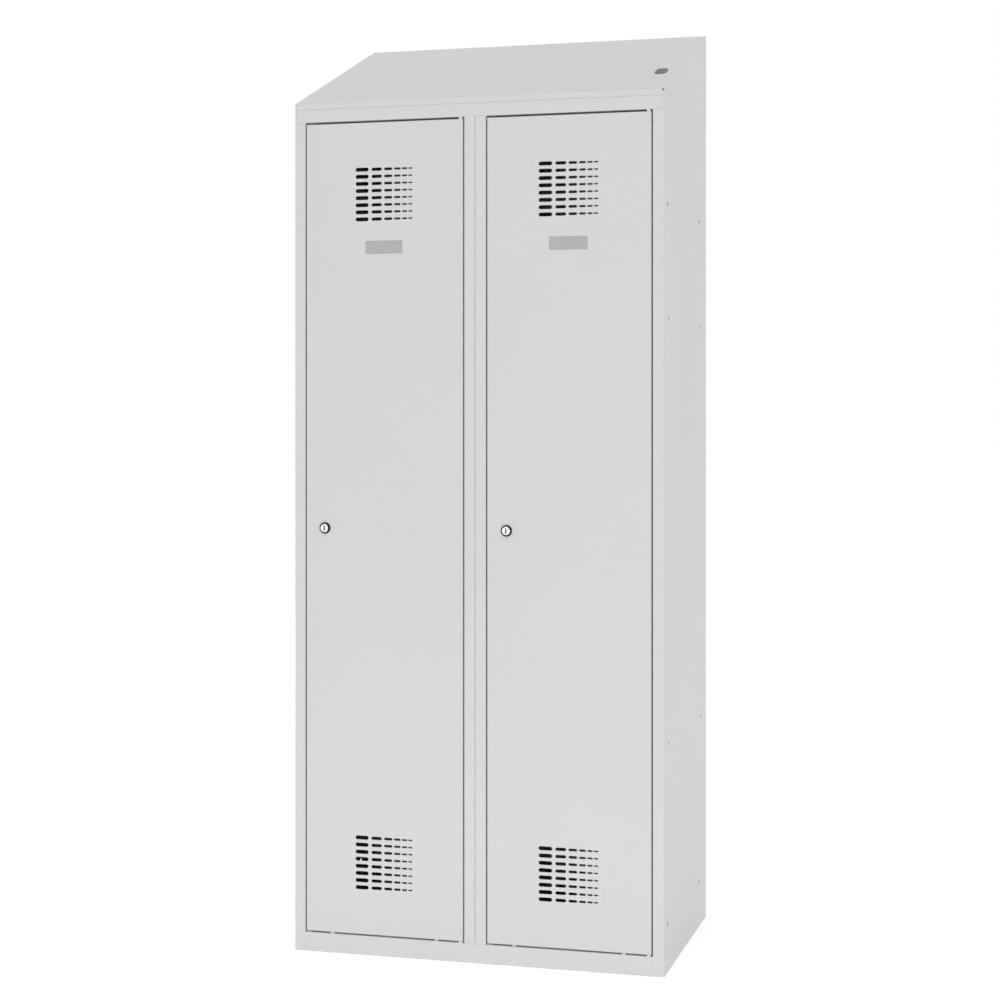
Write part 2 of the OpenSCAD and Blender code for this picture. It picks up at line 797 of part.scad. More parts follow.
module lock_barrel_right() {
    bore = lock_core_d / 2 + running_clearance;
    seat = lock_face_d / 2 + running_clearance;
    seat_y = lock_air - face_seat;
    color(black) about_lock() polygon([
        [seat, face_step - lock_proud], [lock_face_d / 2 + collar_wall, face_step - lock_proud],
        [lock_collar_d / 2, -collar_edge], [lock_collar_d / 2, 0], [lock_barrel_d / 2, 0],
        [lock_barrel_d / 2, barrel_end], [bore, barrel_end], [bore, seat_y], [seat, seat_y]
    ]);
}

module lock_nut_right() {
    color(zinc) lock_axis() translate([0, sheet_t, 0]) rotate([-90, 0, 0]) difference() {
        cylinder(d = lock_nut_w / cos(30), h = lock_nut_t, $fn = 6);
        translate([0, 0, -cut]) cylinder(d = lock_barrel_d + 2 * fit_gap, h = lock_nut_t + 2 * cut);
    }
}

// Turning plug: bright face with the keyway, core, and the square that drives the cam
module lock_plug_right() {
    core = lock_core_d / 2;
    face = lock_face_d / 2;
    color(chrome) difference() {
        union() {
            about_lock() polygon([
                [0, -lock_proud], [face - 2 * face_bevel, -lock_proud], [face, face_bevel - lock_proud],
                [face, -face_seat], [core, -face_seat], [core, core_end], [0, core_end]
            ]);
            lock_axis() translate([-core_square / 2, core_end - cut, -core_square / 2])
                cube([core_square, lock_air + cam_t + cut, core_square]);
        }
        lock_axis() translate([0, -lock_proud - cut, 0]) rotate([-90, 0, 0])
            linear_extrude(keyway_depth + cut) rotate(90) stadium(keyway_l, keyway_w);
        cam_screw_axis() translate([0, -cam_screw_l - cut, 0]) rotate([-90, 0, 0])
            cylinder(r = cam_screw_r + fit_gap, h = cam_screw_l + 2 * cut);
    }
}

// The cam's screw, from the back face of the cam
module cam_screw_axis() {
    lock_axis() translate([0, cam_start + cam_t, 0]) children();
}

module cam_screw_right() {
    color(zinc) cam_screw_axis() {
        rotate([-90, 0, 0]) cylinder(r = cam_screw_head_r, h = cam_screw_head_t);
        rotate([90, 0, 0]) translate([0, 0, -cut]) cylinder(r = cam_screw_r, h = cam_screw_l + cut);
    }
}

// Cam, hanging straight down while the lock is open
module lock_cam_right() {
    side = core_square + 2 * fit_gap;
    corner = cam_w / 4;
    color(zinc) lock_axis() translate([0, cam_start, 0]) rotate([-90, 0, 0])
        linear_extrude(cam_t) difference() {
            union() {
                circle(d = cam_w);
                translate([-cam_w / 2, 0]) square([cam_w, cam_l - corner]);
                translate([-corner, 0]) square([2 * corner, cam_l]);
                for (x = [-1, 1])
                    translate([x * corner, cam_l - corner]) circle(r = corner);
            }
            square(side, center = true);
        }
}

module hat_shelf_right() {
    color(paint) translate([bay_mid, shelf_front + shelf_depth / 2, shelf_z])
        tray(bay_w, shelf_depth, shelf_edge, weld_flange / 2);
}

// Oval outline of the rail, grown by a margin all round (x is depth, y is height)
module oval(margin) {
    rotate(90) stadium(rail_h + 2 * margin, rail_w + 2 * margin);
}

// Extrudes an oval section along the rail, from one place across the body to another
module along_rail(x0, x1) {
    translate([x0, rail_y, rail_z]) rotate([90, 0, 90]) linear_extrude(x1 - x0) children();
}

module coat_rail_right() {
    ends = socket_base_t + socket_clearance;
    color(zinc) along_rail(wall_left + ends, wall_right - ends) difference() {
        oval(0);
        oval(-rail_wall);
    }
}

module rail_sockets_right() {
    base = socket_clearance + socket_wall + socket_base_rim;
    color(zinc) for (end = [0, 1]) translate([2 * bay_mid * end, 0, 0]) mirror([end, 0, 0]) {
        along_rail(wall_left, wall_left + socket_base_t) oval(base);
        along_rail(wall_left + socket_base_t / 2, wall_left + socket_base_t + socket_l) difference() {
            oval(socket_clearance + socket_wall);
            oval(socket_clearance);
        }
    }
}

// Double coat hook that slides along the rail: eye, stem and two upturned arms
module coat_hook(x) {
    eye_low = rail_h / 2 + hook_clearance;
    arms_z = -eye_low - hook_stem;
    color(black) along_rail(x - hook_w / 2, x + hook_w / 2) {
        difference() {
            oval(hook_clearance + hook_t);
            oval(hook_clearance);
        }
        flat(-hook_t / 2, arms_z, hook_t / 2, -eye_low - hook_t / 2);
        for (side = [0, 1]) mirror([side, 0]) translate([hook_arm_r, arms_z]) {
            intersection() {
                difference() {
                    circle(r = hook_arm_r + hook_t / 2);
                    circle(r = hook_arm_r - hook_t / 2);
                }
                translate([-2 * hook_arm_r, -2 * hook_arm_r]) square([4 * hook_arm_r, 2 * hook_arm_r]);
            }
            translate([hook_arm_r, 0]) circle(d = hook_tip_d);
        }
    }
}
module coat_hook_right_a() {
    coat_hook(bay_mid - hook_spacing / 2);
}
module coat_hook_right_b() {
    coat_hook(bay_mid + hook_spacing / 2);
}

// The left compartment mirrors the right one, but its door is hung and locked on the same hand
module left_bay() {
    mirror([1, 0, 0]) children();
}
module left_door() {
    translate([-half_w, 0, 0]) children();
}
module hat_shelf_left() {
    left_bay() hat_shelf_right();
}
module coat_rail_left() {
    left_bay() coat_rail_right();
}
module rail_sockets_left() {
    left_bay() rail_sockets_right();
}
module coat_hook_left_a() {
    left_bay() coat_hook_right_b();
}
module coat_hook_left_b() {
    left_bay() coat_hook_right_a();
}
module hinge_bushes_left() {
    left_door() hinge_bushes_right();
}
module door_panel_left() {
    left_door() door_panel_right();
}
module door_stiffener_left() {
    left_door() door_stiffener_right();
}
module hinge_plates_left() {
    left_door() hinge_plates_right();
}
module hinge_pins_left() {
    left_door() hinge_pins_right();
}
module label_plate_left() {
    left_door() label_plate_right();
}
module lock_barrel_left() {
    left_door() lock_barrel_right();
}
module lock_nut_left() {
    left_door() lock_nut_right();
}
module lock_plug_left() {
    left_door() lock_plug_right();
}
module lock_cam_left() {
    left_door() lock_cam_right();
}
module cam_screw_left() {
    left_door() cam_screw_right();
}

side_panel_left();
side_panel_right();
partition_left();
partition_right();
back_panel();
bottom_panel();
top_rail();
top_panel();
sloping_top();
sloping_top_back();
sloping_top_angles();
sloping_top_screws();
roof_plug();
hat_shelf_left();
hat_shelf_right();
coat_rail_left();
coat_rail_right();
rail_sockets_left();
rail_sockets_right();
coat_hook_left_a();
coat_hook_left_b();
coat_hook_right_a();
coat_hook_right_b();
hinge_bushes_left();
hinge_bushes_right();
door_buffers();
door_pads();
door_panel_left();
door_panel_right();
door_stiffener_left();
door_stiffener_right();
hinge_plates_left();
hinge_plates_right();
hinge_pins_left();
hinge_pins_right();
label_plate_left();
label_plate_right();
lock_barrel_left();
lock_barrel_right();
lock_nut_left();
lock_nut_right();
lock_plug_left();
lock_plug_right();
lock_cam_left();
lock_cam_right();
cam_screw_left();
cam_screw_right();
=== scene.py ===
import json
import math

import bmesh
import bpy
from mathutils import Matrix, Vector


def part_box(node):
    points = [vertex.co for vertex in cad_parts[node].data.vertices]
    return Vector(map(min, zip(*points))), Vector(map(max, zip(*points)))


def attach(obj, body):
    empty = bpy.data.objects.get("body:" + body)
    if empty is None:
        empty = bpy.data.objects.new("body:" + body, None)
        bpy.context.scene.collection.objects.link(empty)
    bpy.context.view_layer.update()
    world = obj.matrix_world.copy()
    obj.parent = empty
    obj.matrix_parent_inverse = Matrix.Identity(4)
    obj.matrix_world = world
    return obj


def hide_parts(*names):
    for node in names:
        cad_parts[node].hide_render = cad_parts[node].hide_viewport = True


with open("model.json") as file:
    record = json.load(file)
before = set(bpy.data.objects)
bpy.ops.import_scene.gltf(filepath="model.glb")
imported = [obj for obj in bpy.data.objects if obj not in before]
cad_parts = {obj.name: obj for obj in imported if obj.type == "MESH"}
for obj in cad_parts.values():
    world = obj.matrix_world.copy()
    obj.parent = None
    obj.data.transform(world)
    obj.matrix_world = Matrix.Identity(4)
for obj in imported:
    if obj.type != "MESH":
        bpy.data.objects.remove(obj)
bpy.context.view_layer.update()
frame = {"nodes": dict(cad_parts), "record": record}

MM = 0.001
NODES = frame["nodes"]
QUARTER = math.radians(90)


# Camera: the photograph's view, level and from the right, its frame shifted down and to the left

def stand_camera():
    lens = bpy.data.cameras.new("view")
    lens.sensor_width = 36.0
    lens.lens = 68.80
    lens.shift_x = -0.05095
    lens.shift_y = -0.08661
    lens.clip_end = 60.0
    camera = bpy.data.objects.new("view", lens)
    bpy.context.scene.collection.objects.link(camera)
    camera.location = (1.15365, -4.04757, 1.14241)
    camera.rotation_euler = (QUARTER, 0, 0.2548)
    bpy.context.scene.camera = camera


# Nodes of a shader tree

def node(tree, kind, inputs=None, **settings):
    """A new node. Inputs are numbers, colours or other nodes' outputs, by socket name or place."""
    made = tree.nodes.new(kind)
    for key, value in settings.items():
        setattr(made, key, value)
    for key, value in (inputs or {}).items():
        if isinstance(value, bpy.types.NodeSocket):
            tree.links.new(value, made.inputs[key])
        else:
            made.inputs[key].default_value = value
    return made


def maths(tree, operation, a, b=0.0, c=0.0):
    """The output of a Math node."""
    return node(tree, "ShaderNodeMath", {0: a, 1: b, 2: c}, operation=operation).outputs[0]


def ramp(tree, value, low, high, to_low=0.0, to_high=1.0, smooth=True):
    """A value between low and high, spread over to_low to to_high."""
    kind = "SMOOTHSTEP" if smooth else "LINEAR"
    return node(tree, "ShaderNodeMapRange", {
        "Value": value, "From Min": low, "From Max": high, "To Min": to_low, "To Max": to_high,
    }, interpolation_type=kind).outputs["Result"]


def mixed(tree, share, first, second):
    """A colour between two, by a share from 0 to 1."""
    made = tree.nodes.new("ShaderNodeMix")
    made.data_type = "RGBA"
    for socket, value in ((made.inputs[0], share), (made.inputs[6], first), (made.inputs[7], second)):
        if isinstance(value, bpy.types.NodeSocket):
            tree.links.new(value, socket)
        else:
            socket.default_value = value
    return made.outputs[2]


def place_on(tree):
    """The point on the object, in metres."""
    return node(tree, "ShaderNodeTexCoord").outputs["Object"]


def axes_of_place(tree):
    """The same point as separate X, Y and Z."""
    return node(tree, "ShaderNodeSeparateXYZ", {0: place_on(tree)}).outputs


def scale_of(tree, size):
    """A texture's scale from the size of its marks in millimetres."""
    return maths(tree, "DIVIDE", 1000.0, size)


def folded(tree, across, distance):
    """X, with the left door's points moved onto the right door's."""
    behind = maths(tree, "LESS_THAN", across, 0.0)
    return maths(tree, "ADD", across, maths(tree, "MULTIPLY", behind, distance))


def effect(name, inputs, outputs):
    """An empty shader node group with named number sockets: (tree, its input node, its output node)."""
    tree = bpy.data.node_groups.new(name, "ShaderNodeTree")
    for socket, value in inputs.items():
        made = tree.interface.new_socket(name=socket, in_out="INPUT", socket_type="NodeSocketFloat")
        made.default_value = value
    for socket in outputs:
        tree.interface.new_socket(name=socket, in_out="OUTPUT", socket_type="NodeSocketFloat")
    return tree, tree.nodes.new("NodeGroupInput"), tree.nodes.new("NodeGroupOutput")


def used(tree, group, **values):
    """A group placed in a material, with its own values."""
    made = tree.nodes.new("ShaderNodeGroup")
    made.node_tree = group
    for key, value in values.items():
        made.inputs[key.replace("_", " ")].default_value = value
    return made


# Light: white all round to look at, and a plain level on the object

def seen_directly(tree):
    """1 where the camera, a mirror or a clear part looks, 0 for the light that falls on things."""
    path = node(tree, "ShaderNodeLightPath").outputs
    direct = maths(tree, "MAXIMUM", path["Is Camera Ray"], path["Is Glossy Ray"])
    return maths(tree, "MAXIMUM", direct, path["Is Transmission Ray"])


def studio_world(horizon, zenith):
    """An even light from all round, a little weaker from above."""
    world = bpy.data.worlds.new("studio")
    bpy.context.scene.world = world
    world.use_nodes = True
    tree = world.node_tree
    tree.nodes.clear()
    white = (1, 1, 1, 1)
    direction = node(tree, "ShaderNodeTexCoord").outputs["Generated"]
    height = node(tree, "ShaderNodeSeparateXYZ", {0: direction}).outputs["Z"]
    level = ramp(tree, height, 0.0, 1.0, horizon, zenith, smooth=False)
    lighting = node(tree, "ShaderNodeBackground", {"Color": white, "Strength": level})
    backdrop = node(tree, "ShaderNodeBackground", {"Color": white, "Strength": 1.0})
    mix = node(tree, "ShaderNodeMixShader", {0: seen_directly(tree), 1: lighting.outputs[0],
                                             2: backdrop.outputs[0]})
    node(tree, "ShaderNodeOutputWorld", {"Surface": mix.outputs[0]})


def soft_lamp(name, at, aim, width, height, watts):
    """A rectangle of light, which the camera doesn't see."""
    lamp = bpy.data.lights.new(name, "AREA")
    lamp.shape = "RECTANGLE"
    lamp.size = width
    lamp.size_y = height
    lamp.energy = watts
    stand = bpy.data.objects.new(name, lamp)
    bpy.context.scene.collection.objects.link(stand)
    stand.location = at
    stand.rotation_euler = (Vector(aim) - Vector(at)).to_track_quat("-Z", "Y").to_euler()
    stand.visible_camera = False


def studio_floor():
    """A pale floor that comes out white in the open and keeps the object's shadow."""
    bpy.ops.object.select_all(action="DESELECT")
    bpy.ops.mesh.primitive_plane_add(size=60)
    floor = bpy.context.active_object
    floor.name = "floor"
    paint = bpy.data.materials.new("floor")
    paint.use_nodes = True
    tree = paint.node_tree
    surface = tree.nodes["Principled BSDF"]
    surface.inputs["Base Color"].default_value = (0.94, 0.94, 0.94, 1)
    surface.inputs["Roughness"].default_value = 0.9
    surface.inputs["Specular IOR Level"].default_value = 0.0
    surface.inputs["Emission Color"].default_value = (1, 1, 1, 1)
    lift_to_white = 0.34
    glow = maths(tree, "MULTIPLY", seen_directly(tree), lift_to_white)
    tree.links.new(glow, surface.inputs["Emission Strength"])
    floor.data.materials.append(paint)


# Effects that several finishes share

def powder_coat_group():
    """Cured powder paint: the fine orange peel of its surface and a very slow drift of tone."""
    tree, given, out = effect("powder coat", {"Peel size": 1.4, "Drift size": 260.0}, ("Height", "Drift"))
    place = place_on(tree)
    fine = scale_of(tree, given.outputs["Peel size"])
    slow = scale_of(tree, given.outputs["Drift size"])
    sparse = 0.31
    peel = node(tree, "ShaderNodeTexNoise", {"Vector": place, "Scale": fine, "Detail": 2.0,
                                             "Roughness": 0.45})
    dust = node(tree, "ShaderNodeTexVoronoi", {
        "Vector": place, "Scale": maths(tree, "MULTIPLY", fine, sparse)})
    speck = ramp(tree, dust.outputs["Distance"], 0.05, 0.16, 0.55, 0.0)
    height = maths(tree, "ADD", peel.outputs[0], speck)
    drift = node(tree, "ShaderNodeTexNoise", {"Vector": place, "Scale": slow, "Detail": 3.0})
    tree.links.new(height, out.inputs["Height"])
    tree.links.new(ramp(tree, drift.outputs[0], 0.3, 0.7), out.inputs["Drift"])
    return tree


def plated_steel_group():
    """Bright zinc plating: a cloudy bloom over fine drawing lines along X."""
    tree, given, out = effect("plated steel", {"Bloom size": 9.0, "Line size": 0.5}, ("Height", "Bloom"))
    place = place_on(tree)
    cloud = node(tree, "ShaderNodeTexNoise", {
        "Vector": place, "Scale": scale_of(tree, given.outputs["Bloom size"]), "Detail": 5.0,
        "Roughness": 0.6, "Distortion": 0.6})
    drawn = node(tree, "ShaderNodeMapping", {"Vector": place, "Scale": (0.02, 1.0, 1.0)})
    lines = node(tree, "ShaderNodeTexNoise", {
        "Vector": drawn.outputs[0], "Scale": scale_of(tree, given.outputs["Line size"]),
        "Detail": 2.0})
    tree.links.new(lines.outputs[0], out.inputs["Height"])
    tree.links.new(ramp(tree, cloud.outputs[0], 0.3, 0.7), out.inputs["Bloom"])
    return tree


def moulded_group():
    """Moulded plastic or rubber: spark-eroded grain and a faint cloudiness."""
    tree, given, out = effect("moulded grain", {"Grain size": 0.5, "Cloud size": 12.0}, ("Height", "Cloud"))
    place = place_on(tree)
    grain = node(tree, "ShaderNodeTexVoronoi", {
        "Vector": place, "Scale": scale_of(tree, given.outputs["Grain size"])},
        feature="SMOOTH_F1")
    cloud = node(tree, "ShaderNodeTexNoise", {
        "Vector": place, "Scale": scale_of(tree, given.outputs["Cloud size"]), "Detail": 4.0})
    tree.links.new(grain.outputs["Distance"], out.inputs["Height"])
    tree.links.new(ramp(tree, cloud.outputs[0], 0.3, 0.7), out.inputs["Cloud"])
    return tree


def weld_row_group():
    """Rows of spot-weld dents up a line on each side of the middle: 1 in the dents, 0 elsewhere."""
    tree, given, out = effect(
        "weld row", {"Fold": 0.0, "Middle": 0.0, "Line": 0.39, "Pitch": 0.12, "Radius": 0.0028}, ("Dent",))
    place = axes_of_place(tree)
    inner = given.outputs
    across = folded(tree, place["X"], inner["Fold"])
    aside = maths(tree, "ABSOLUTE", maths(tree, "SUBTRACT", across, inner["Middle"]))
    off_line = maths(tree, "SUBTRACT", aside, inner["Line"])
    up = maths(tree, "WRAP", place["Z"], maths(tree, "MULTIPLY", inner["Pitch"], 0.5),
               maths(tree, "MULTIPLY", inner["Pitch"], -0.5))
    away = maths(tree, "SQRT", maths(tree, "ADD", maths(tree, "MULTIPLY", off_line, off_line),
                                     maths(tree, "MULTIPLY", up, up)))
    share = maths(tree, "DIVIDE", away, inner["Radius"])
    tree.links.new(ramp(tree, share, 0.7, 1.1, 1.0, 0.0), out.inputs["Dent"])
    return tree


def lap_shade_group():
    """Painted shade: the dark hairline under the skirt's lower edge, where the lap joint's shade falls: 1 in it,
    0 elsewhere.
    """
    tree, given, out = effect("lap shade line", {"Edge": 1.788, "Line height": 0.0003, "Front": -0.2445}, ("Line",))
    place = axes_of_place(tree)
    edge = given.outputs["Edge"]
    foot = maths(tree, "SUBTRACT", edge, given.outputs["Line height"])
    under = maths(tree, "LESS_THAN", place["Z"], edge)
    near = maths(tree, "GREATER_THAN", place["Z"], foot)
    front = maths(tree, "LESS_THAN", place["Y"], given.outputs["Front"])
    line = maths(tree, "MULTIPLY", maths(tree, "MULTIPLY", under, near), front)
    tree.links.new(line, out.inputs["Line"])
    return tree


# Finishes

def tone(level, warm=0):
    """The linear colour of a grey as seen on screen, 0 to 255; warm lowers its blue."""
    def linear(c):
        c /= 255
        return c / 12.92 if c <= 0.04045 else ((c + 0.055) / 1.055) ** 2.4
    return (linear(level), linear(level), linear(level - warm), 1)


def finish(name, metallic=0.0):
    """A new material: (material, tree, its Principled shader)."""
    material = bpy.data.materials.new(name)
    material.use_nodes = True
    surface = material.node_tree.nodes["Principled BSDF"]
    surface.inputs["Metallic"].default_value = metallic
    return material, material.node_tree, surface


def wire(tree, surface, colour, roughness, height, depth, strength):
    """Joins colour, roughness and bump to the shader."""
    tree.links.new(colour, surface.inputs["Base Color"])
    tree.links.new(roughness, surface.inputs["Roughness"])
    bump = node(tree, "ShaderNodeBump", {"Height": height, "Distance": depth, "Strength": strength})
    tree.links.new(bump.outputs[0], surface.inputs["Normal"])


def powder_paint(name, level, welds=None, only_back=False, lap=None):
    """Powder-coated sheet, with spot-weld dents and the painted shade of the skirt's lap line where they are
    given.
    """
    material, tree, surface = finish(name)
    coat = used(tree, POWDER, Peel_size=1.5, Drift_size=310.0)
    colour = mixed(tree, coat.outputs["Drift"], tone(level), tone(level + 1.4, 0.6))
    if lap:
        # painted shade: a dark grey hairline just below the skirt's lower edge, on the front face
        colour = mixed(tree, used(tree, LAP_SHADE, **lap).outputs["Line"], colour, tone(110))
    roughness = ramp(tree, coat.outputs["Drift"], 0.0, 1.0, 0.40, 0.47, smooth=False)
    height = maths(tree, "MULTIPLY", coat.outputs["Height"], 0.035)
    if welds:
        dent = used(tree, WELDS, **welds).outputs["Dent"]
        if only_back:
            behind = maths(tree, "GREATER_THAN", axes_of_place(tree)["Y"], BACK_FACE)
            dent = maths(tree, "MULTIPLY", dent, behind)
        height = maths(tree, "SUBTRACT", height, maths(tree, "MULTIPLY", dent, 0.35))
    wire(tree, surface, colour, roughness, height, 0.001, 0.5)
    return material


def plated(name, level, rough, metallic=1.0, warm=0):
    """Zinc-plated steel, or the keyway shutter's dark painted shade."""
    material, tree, surface = finish(name, metallic)
    plate = used(tree, PLATED, Bloom_size=9.0, Line_size=0.5)
    colour = mixed(tree, plate.outputs["Bloom"], tone(level, warm), tone(level - 14, warm - 3))
    roughness = ramp(tree, plate.outputs["Bloom"], 0.0, 1.0, rough, rough + 0.12, smooth=False)
    wire(tree, surface, colour, roughness, plate.outputs["Height"], 0.00004, 0.4)
    return material


def moulded(name, level, rough, grain=0.5, depth=0.00004, warm=0, spread=5, shine=0.5):
    """Moulded plastic or rubber; spread is how much lighter its clouds are."""
    material, tree, surface = finish(name)
    surface.inputs["Specular IOR Level"].default_value = shine
    skin = used(tree, MOULDED, Grain_size=grain, Cloud_size=12.0)
    colour = mixed(tree, skin.outputs["Cloud"], tone(level, warm), tone(level + spread, warm))
    roughness = ramp(tree, skin.outputs["Cloud"], 0.0, 1.0, rough, rough + 0.08, smooth=False)
    wire(tree, surface, colour, roughness, skin.outputs["Height"], depth, 0.35)
    return material


def pad_plastic(name, level, corner_shade_level, corner_end):
    """Grey pads under the doors, with painted shade darkening them at each free corner; corner_end is where the
    right door's ends.
    """
    material, tree, surface = finish(name)
    skin = used(tree, MOULDED, Grain_size=0.5, Cloud_size=12.0)
    across = folded(tree, axes_of_place(tree)["X"], PAIR)
    corner = maths(tree, "LESS_THAN", across, corner_end)
    plain = mixed(tree, skin.outputs["Cloud"], tone(level), tone(level + 5))
    roughness = ramp(tree, skin.outputs["Cloud"], 0.0, 1.0, 0.5, 0.58, smooth=False)
    # painted shade: the pads at the free corners are coloured a darker grey
    wire(tree, surface, mixed(tree, corner, plain, tone(corner_shade_level)), roughness, skin.outputs["Height"],
         0.00004, 0.35)
    return material


def chrome(name):
    """Bright chrome with the faint round marks that keys leave."""
    material, tree, surface = finish(name, 1.0)
    place = place_on(tree)
    marks = node(tree, "ShaderNodeTexNoise", {
        "Vector": place, "Scale": 900.0, "Detail": 3.0, "Distortion": 1.5})
    wear = ramp(tree, marks.outputs[0], 0.45, 0.75)
    wire(tree, surface, mixed(tree, wear, tone(244), tone(228, 1)),
         ramp(tree, wear, 0.0, 1.0, 0.07, 0.2, smooth=False), marks.outputs[0], 0.00001, 0.3)
    return material


POWDER = powder_coat_group()
PLATED = plated_steel_group()
MOULDED = moulded_group()
WELDS = weld_row_group()
LAP_SHADE = lap_shade_group()

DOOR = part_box("door_panel_right")
PAIR = 0.4   # from one door to the other
BACK_FACE = 0.2447   # Y just inside the outer face at the back

BRIM = (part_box("door_stiffener_right")[0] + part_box("door_stiffener_right")[1]) / 2
CORNER_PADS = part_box("door_pads")[0].x + PAIR + 0.02
# where the painted shade under the skirt's lower edge lies
SKIRT_LAP_SHADE = dict(Edge=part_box("sloping_top")[0].z, Line_height=0.0003, Front=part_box("top_rail")[0].y + 0.0005)
FINISHES = {
    "body_paint": powder_paint("body powder coat", 215, lap=SKIRT_LAP_SHADE),
    "door_paint": powder_paint("door powder coat", 214.5),
    "zinc_steel": plated("zinc plating", 188, rough=0.28, warm=-2),
    "lock_chrome": chrome("chrome"),
    "lock_black": moulded("black lock body", 18, rough=0.38, grain=0.4, depth=0.00002, spread=3, shine=0.2),
    "plug_plastic": moulded("grey plug plastic", 88, rough=0.45),
    "label_plastic": moulded("label plastic", 176, rough=0.36, grain=0.35, depth=0.00002, warm=1.5, spread=3),
    "white_plastic": moulded("white plastic", 226, rough=0.5, warm=2),
    "hook_plastic": moulded("black hook plastic", 38, rough=0.42, grain=0.6, depth=0.00005),
    "buffer_rubber": moulded("grey rubber", 74, rough=0.75, grain=0.4, depth=0.00006),
}
SIDE_WELDS = powder_paint("side powder coat", 215, dict(
    Middle=0.0, Line=0.3915, Pitch=0.12), only_back=True, lap=SKIRT_LAP_SHADE)
BRIM_WELDS = powder_paint("stiffener powder coat", 215, dict(
    Fold=PAIR, Middle=BRIM.x, Line=0.028, Pitch=0.09, Radius=0.0025))
# 150 is the grey of the painted shade at the free corners
PADS = pad_plastic("grey pad plastic", 200, 150, CORNER_PADS)
# painted shade: the shutter is made dark and dull so that the keyway reads as shaded
SHUTTER_SHADE = plated("shutter dark with keyway shade", 34, rough=0.5, metallic=0.0)


def paint_cad_nodes():
    """Every node gets its slot's finish or its own; the pieces modelled later replace some of them."""
    own = {"side_panel_left": SIDE_WELDS, "side_panel_right": SIDE_WELDS, "door_pads": PADS,
           "door_stiffener_left": BRIM_WELDS, "door_stiffener_right": BRIM_WELDS}
    for row in frame["record"]["subparts"]:
        mesh = NODES[row["node"]].data
        mesh.materials.clear()
        mesh.materials.append(own.get(row["node"], FINISHES[row["material_slot"]]))


# Modelling by operators

def deselect():
    bpy.ops.object.select_all(action="DESELECT")


def only(piece):
    deselect()
    piece.select_set(True)
    bpy.context.view_layer.objects.active = piece


def edit(piece):
    only(piece)
    bpy.ops.object.mode_set(mode="EDIT")


def leave():
    bpy.ops.object.mode_set(mode="OBJECT")
    return bpy.context.active_object


def pick(kind, test):
    """In edit mode, selects only the vertices, edges or faces whose middle and normal pass the test."""
    mesh = bpy.context.edit_object.data
    bpy.ops.mesh.select_mode(type=kind)
    bpy.ops.mesh.select_all(action="DESELECT")
    shape = bmesh.from_edit_mesh(mesh)
    for part in {"VERT": shape.verts, "EDGE": shape.edges, "FACE": shape.faces}[kind]:
        if kind == "FACE":
            middle, facing = part.calc_center_median(), part.normal
        elif kind == "EDGE":
            middle, facing = (part.verts[0].co + part.verts[1].co) / 2, None
        else:
            middle, facing = part.co, None
        if test(middle / MM, facing):
            part.select_set(True)
    shape.select_flush_mode()
    bmesh.update_edit_mesh(mesh)


def close_up():
    """Merges doubles and turns the faces outwards."""
    bpy.ops.mesh.select_mode(type="VERT")
    bpy.ops.mesh.select_all(action="SELECT")
    bpy.ops.mesh.remove_doubles(threshold=0.000002)
    bpy.ops.mesh.normals_make_consistent(inside=False)


def turned(rings, sides=48, ring_shape=False):
    """A body turned about Z, ring by ring as (radius, height) in millimetres; its ends are filled."""
    deselect()
    bpy.ops.mesh.primitive_circle_add(vertices=sides, radius=rings[0][0] * MM, enter_editmode=True)
    bpy.ops.transform.translate(value=(0, 0, rings[0][1] * MM))
    if not ring_shape:
        bpy.ops.mesh.edge_face_add()
        bpy.ops.mesh.select_mode(type="EDGE")
        bpy.ops.mesh.select_all(action="SELECT")
    for (r0, z0), (r1, z1) in zip(rings, rings[1:]):
        bpy.ops.mesh.extrude_edges_move(TRANSFORM_OT_translate={"value": (0, 0, (z1 - z0) * MM)})
        bpy.ops.transform.resize(value=(r1 / r0, r1 / r0, 1), center_override=(0, 0, z1 * MM))
    if not ring_shape:
        bpy.ops.mesh.edge_face_add()
    close_up()
    return leave()


def block(size, at=(0, 0, 0)):
    """A block in edit mode, in millimetres, as the start of a piece."""
    deselect()
    bpy.ops.mesh.primitive_cube_add(size=MM, enter_editmode=True)
    bpy.ops.transform.resize(value=size, center_override=(0, 0, 0))
    bpy.ops.transform.translate(value=[c * MM for c in at])
    return bpy.context.edit_object


def modify(piece, kind, **settings):
    only(piece)
    made = piece.modifiers.new(kind.lower(), kind)
    for key, value in settings.items():
        setattr(made, key, value)
    bpy.ops.object.modifier_apply(modifier=made.name)
    return piece


def cut(piece, cutter, operation="DIFFERENCE"):
    modify(piece, "BOOLEAN", operation=operation, object=cutter, solver="EXACT")
    bpy.data.objects.remove(cutter)
    return piece


def joined(piece, *others):
    only(piece)
    for other in others:
        other.select_set(True)
    bpy.ops.object.join()
    return piece


def round_edges(piece, width, segments=3, angle=35):
    return modify(piece, "BEVEL", width=width * MM, segments=segments, limit_method="ANGLE",
                  angle_limit=math.radians(angle))


def put(piece, at, turn=(0, 0, 0)):
    """Turns and moves a piece made round the origin, with its place in its mesh."""
    only(piece)
    piece.rotation_euler = turn
    piece.location = at
    bpy.ops.object.transform_apply(location=True, rotation=True, scale=True)
    return piece


def another(piece, at):
    """A copy with its own mesh, moved by a distance."""
    only(piece)
    bpy.ops.object.duplicate(linked=False)
    return put(bpy.context.active_object, at)


def one_at_each(piece, turn, spots):
    """The piece, turned and put at the first spot, and its copies at the others."""
    first = put(piece, spots[0], turn)
    return [first] + [another(first, spot - spots[0]) for spot in spots[1:]]


